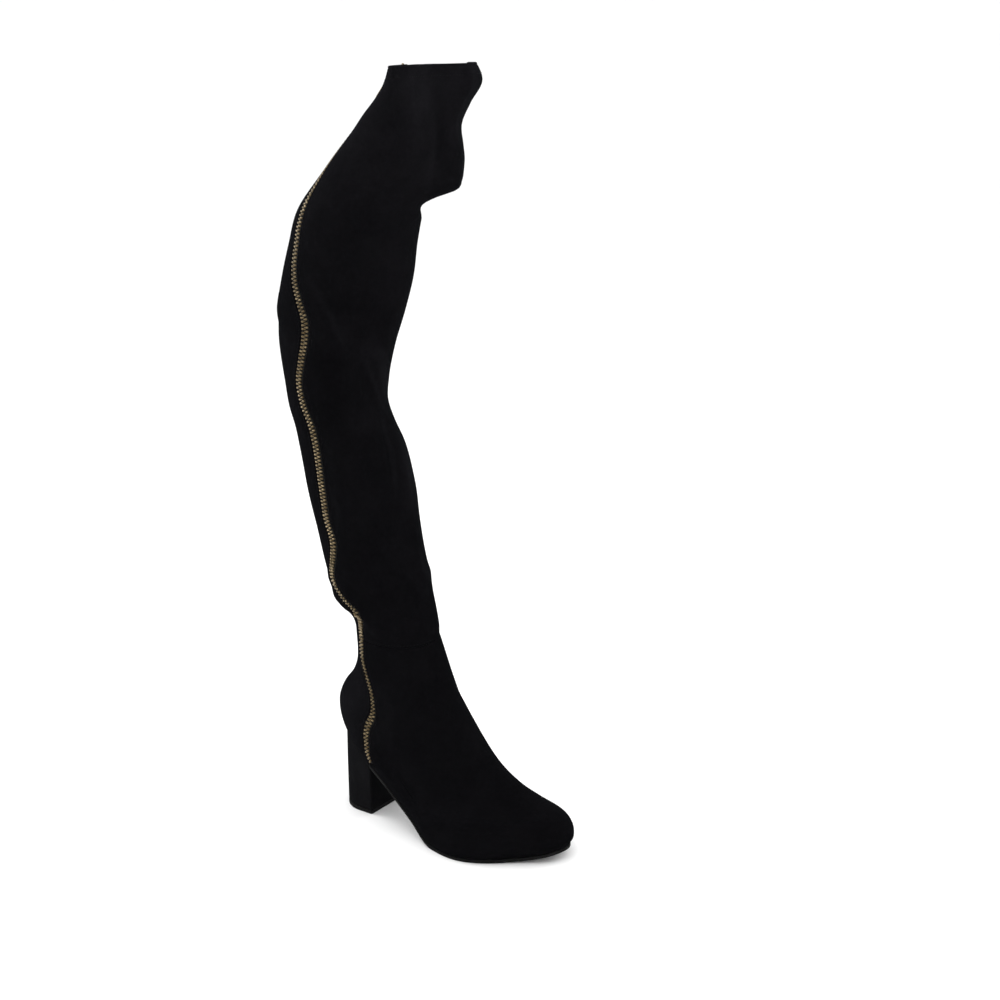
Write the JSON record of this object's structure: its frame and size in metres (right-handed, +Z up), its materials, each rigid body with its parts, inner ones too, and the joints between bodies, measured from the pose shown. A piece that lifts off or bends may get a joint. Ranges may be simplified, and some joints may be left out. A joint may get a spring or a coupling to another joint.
{
  "type": "over-the-knee boot",
  "caption": "Over-the-knee suede boot for the right foot with a block heel, a slack shaft and a full-length metal zip on its outer side.",
  "frame": {"origin": "on the floor under the middle of the boot's box", "axes": "+X to the toe, +Y to the inner side of the right foot, +Z up the shaft"},
  "size_m": [0.2762, 0.1246, 0.6647],
  "materials": {
    "suede": "matte black faux suede",
    "stretch_suede": "matte black stretch suede",
    "lining": "smooth black lining",
    "sole_rubber": "satin black",
    "antique_brass": "brushed, slightly aged",
    "black_coil": "matte black nylon",
    "black_metal": "satin black"
  },
  "bodies": {
    "root": {"upper_foot": "suede", "upper_shaft": "suede", "back_stretch_panel": "stretch_suede", "heel_block": "suede", "outsole": "sole_rubber", "heel_lift": "sole_rubber", "insole": "lining", "outer_zip_chain": "antique_brass", "outer_zip_slider": "antique_brass", "inner_zip_chain": "black_coil", "inner_zip_slider": "black_metal"},
    "outer_pull": {"outer_zip_pull_tab": "antique_brass"},
    "inner_pull": {"inner_zip_pull_tab": "black_metal"}
  },
  "joints": [
    {"name": "outer_pull_lift", "type": "hinge", "parent": "root", "child": "outer_pull", "pos_m": [-0.0212, -0.00258, 0.65723], "axis": [-0.343, 0.9393, 0], "range_deg": [0, 150]},
    {"name": "inner_pull_lift", "type": "hinge", "parent": "root", "child": "inner_pull", "pos_m": [-0.10614, 0.04216, 0.39196], "axis": [0.9818, 0.19, 0], "range_deg": [0, 150]}
  ]
}
